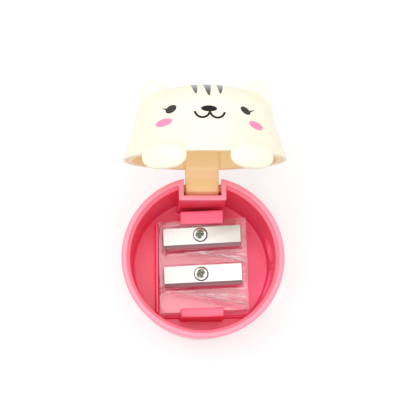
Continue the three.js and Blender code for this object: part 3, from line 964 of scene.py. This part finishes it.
# Painted light: the dish is paler than the arm. The arm is painted paler at the knuckle and deeper in shade
# up the wall.
dish_tone_and_painted_light = peach.noise(at, 8.0).blend(paint(255, 230, 174), paint(255, 234, 182))
arm_painted_light_and_shade = h.rise(-8.0, 4.0).blend(paint(255, 228, 196), paint(255, 223, 164))
peach_plastic = peach.moulded(at, on_arm.blend(dish_tone_and_painted_light, arm_painted_light_and_shade), 0.34 + peach.noise(at, 2.0) * 0.08)

# The lid's pieces are modelled shut, where their fit is easy to see, and stand open at rest.
opened = turned_about((0, hinge_y, hinge_z), -85, "X")
stand(plate_mesh, peach_plastic, opened, "lid", "lid_plate")

# %% [markdown]
# The head is a hollow dome with a flared skirt, two ears with flat faces and two paws that rest
# on the cup's rim when the lid is shut. It could be sculpted, but its inside has to fit the plate
# and the cup. So the dome, the ears and the paws are fields, and they meet in soft creases.

# %% The head's sizes
head_height, head_wall, head_cell = 21.4, 1.2, 0.3
dome_power = 2.3
ear_top, ear_inner, ear_fall, ear_run = 0.85, 5.9, 2.5, 4.0
ear_outer, ear_bow, bow_start, bow_height = 0.8, 2.1, 15.0, 6.7
ear_front, ear_back, ear_root = -6.3, -1.7, 9
paw_middle, paw_angle, paw_drop = rim_radius + 1.6, math.radians(28.3), 1.3
paw_halves, paw_power = (6.7, 3.8, 2.6), 2.27
paws_front, paws_under = -28.6, 5.2
taper_start, snap_gap, cup_room = 0.65, 0.05, 0.8
print(f"head {head_height} high, its paws {math.degrees(2 * paw_angle):.1f} degrees apart")


# %% Dome, ears and paws
def head_outline(radius, h, inset=0.0):
    """The dome, a little squarer than an ellipse, and its skirt, drawn in by a wall's thickness."""
    rise = head_height - waist - inset
    above = np.maximum(h - waist, 0) / rise
    powers = (radius / (dome_radius - inset)) ** dome_power + above ** dome_power
    dome = (powers ** (1 / dome_power) - 1) * rise
    return np.where(h < waist, radius - skirt_radius(h) + inset, dome)


def ear_field(x, y, h):
    """An ear's outline, with a side that bows and a top that falls to the dome, and its two faces."""
    across = np.abs(x)
    top = (h - head_height - ear_top) * ear_run - (across - dome_radius + ear_inner) * ear_fall
    bow = np.maximum(h - bow_start, 0) / bow_height
    lean = np.sqrt(1 + (2 * ear_bow * bow / bow_height) ** 2)
    side = (across - dome_radius + ear_outer + ear_bow * bow ** 2) / lean
    return both(both(top / math.hypot(ear_run, ear_fall), side, 1.7), between(y, ear_front, ear_back), 1.0)


def paw_field(x, y, h):
    """A paw: a pillow that is bent along the rim and hangs a little below it."""
    along = (np.arctan2(np.abs(x), -y) - paw_angle) * paw_middle
    apart = (along, h + paw_drop, np.hypot(x, y) - paw_middle)
    powers = sum(np.abs(a / half) ** paw_power for a, half in zip(apart, paw_halves))
    return (powers ** (1 / paw_power) - 1) * 3.0


# %% The head's shape
def head_field(x, y, z):
    """The dome with its ears and paws, less its inside, its mouth and the room for the cup."""
    h = z - lid_under
    radius = np.hypot(x, y)
    head = either(both(head_outline(radius, h), -h, 0.3), both(ear_field(x, y, h), ear_root - h), 0.5)
    head = either(head, paw_field(x, y, h), 0.3)
    hollow = both(head_outline(radius, h, head_wall), mouth_height - h)
    drawn_in = mouth_taper * np.maximum(h - taper_start, 0)
    mouth = both((radius - plate_radius - snap_gap + drawn_in) * taper_square, h - mouth_height)
    head = without(head, either(hollow, mouth, 0.2), 0.2)
    return without(head, both(radius - rim_radius - cup_room, h), 0.2)


head_mesh = skin("head_shell_ivory", head_field, (-head_radius, paws_front, lid_under - paws_under),
                 (head_radius, head_radius, lid_under + head_height + 2), head_cell)

# %% [markdown]
# The face is printed on the shell: a nose, a mouth, two eyes with lashes, two cheeks and three
# marks on the brow. Such a print is often a texture laid on with UVs. These marks are simple
# enough to be worked out from where a point lies, as ellipses, rings and strokes, and they stay
# sharp at any size.

# %% Shapes to print with
ivory = new_finish("head_ivory_plastic")
at = ivory.place()
x, y, z = at.parts()
h = z - lid_under
soft = 0.05


def ellipse(centre, half, angle, blur=soft):
    """1 inside a tilted ellipse on the face, seen from the front."""
    c, s = math.cos(math.radians(angle)), math.sin(math.radians(angle))
    along = ((x - centre[0]) * c + (h - centre[1]) * s) / half[0]
    across = ((h - centre[1]) * c - (x - centre[0]) * s) / half[1]
    edge = blur / min(half)
    return ((along * along + across * across) ** 0.5).rise(1 + edge, 1 - edge)


def stroke(start, end, wide=0.6, thin=0.16):
    """1 on a straight stroke that narrows from its start to its end."""
    run = Vector(end) - Vector(start)
    length, run = run.length, run.normalized()
    along = (x - start[0]) * run.x + (h - start[1]) * run.y
    across = abs((h - start[1]) * run.x - (x - start[0]) * run.y)
    width = wide / 2 - along * ((wide - thin) / 2 / length)
    on_line = (across - width).rise(soft, -soft)
    return on_line * along.rise(-soft, soft) * along.rise(length + soft, length - soft)


def smile(centre, radius, top):
    """1 on the lower part of a ring."""
    from_centre = ((x - centre[0]) ** 2 + (h - centre[1]) ** 2) ** 0.5
    return abs(from_centre - radius).rise(0.38, 0.28) * h.rise(top + soft, top - soft)


def brow_mark(tip, left, right, rise, end=-3):
    """1 on a leaf that swells from its tip on the brow and ends, rounded, over the crown."""
    before_end = (y - end) * -0.5
    swell = ((h - tip[1]) * (1 / rise)).most(0.0) ** 0.5 * before_end.most(0.0).least(1.0) ** 0.5
    within = (x - tip[0] + swell * left).least(tip[0] + swell * right - x)
    return within.rise(-0.05, 0.07) * (h - tip[1]).rise(0.0, 0.1) * (y - end).rise(0.1, -0.1)


# %% The marks of the face
nose = ellipse((0.43, 12.13), (2.25, 0.88), -1.7)
mouth_line = smile((-1.41, 11.72), 2.1, 11.45).most(smile((2.75, 11.55), 2.05, 11.2))
eyes = (ellipse((-10.05, 12.32), (1.62, 1.05), 27.7)
        .most(ellipse((10.72, 11.98), (1.63, 0.86), -34.1))
        .most(stroke((-10.9, 12.25), (-12.55, 12.74)))
        .most(stroke((11.6, 11.6), (13.24, 12.43))))
cheeks = (ellipse((-12.03, 8.57), (2.35, 1.13), 13.3, 0.12)
          .most(ellipse((13.68, 7.93), (2.15, 1.1), -20.1, 0.12)))
brow_marks = (brow_mark((-2.95, 16.6), 1.33, 0.38, 3.1)
              .most(brow_mark((0.6, 15.95), 1.35, 0.62, 3.5))
              .most(brow_mark((3.7, 16.55), 0.72, 0.98, 3.1)))
print("face marks take", len(ivory.tree.nodes), "nodes")

# %% [markdown]
# Each ink is laid over the one before it, as in printing, and only on the front half of the head.
# A layer of its own could carry the print. One material is enough, with the ivory below and a
# matt ink, rougher than the plastic, for the nose, the mouth and the eyes.

# %% The head's finish
in_front = y.rise(0.5, -0.5)
# The brow marks are printed grey, with a painted highlight that makes them lighter over the crown.
brow_ink_and_highlight = h.rise(17.2, 20.0).blend(paint(92, 92, 94), paint(158, 158, 158))
printed = ivory.noise(at, 10.0).blend(paint(255, 251, 224), paint(255, 252, 231))
for mark, ink in ((cheeks, paint(255, 150, 188)), (brow_marks, brow_ink_and_highlight), (eyes, paint(58, 58, 60)),
                  (mouth_line, paint(30, 24, 24)), (nose, paint(14, 12, 12))):
    printed = (mark * in_front).blend(printed, ink)
matt_ink = nose.most(mouth_line).most(eyes) * in_front
ivory_plastic = ivory.moulded(at, printed, 0.3 + ivory.noise(at, 2.0) * 0.08 + matt_ink * 0.35,
                              Specular_IOR_Level=0.3)
stand(head_mesh, ivory_plastic, opened, "lid", "head_shell")
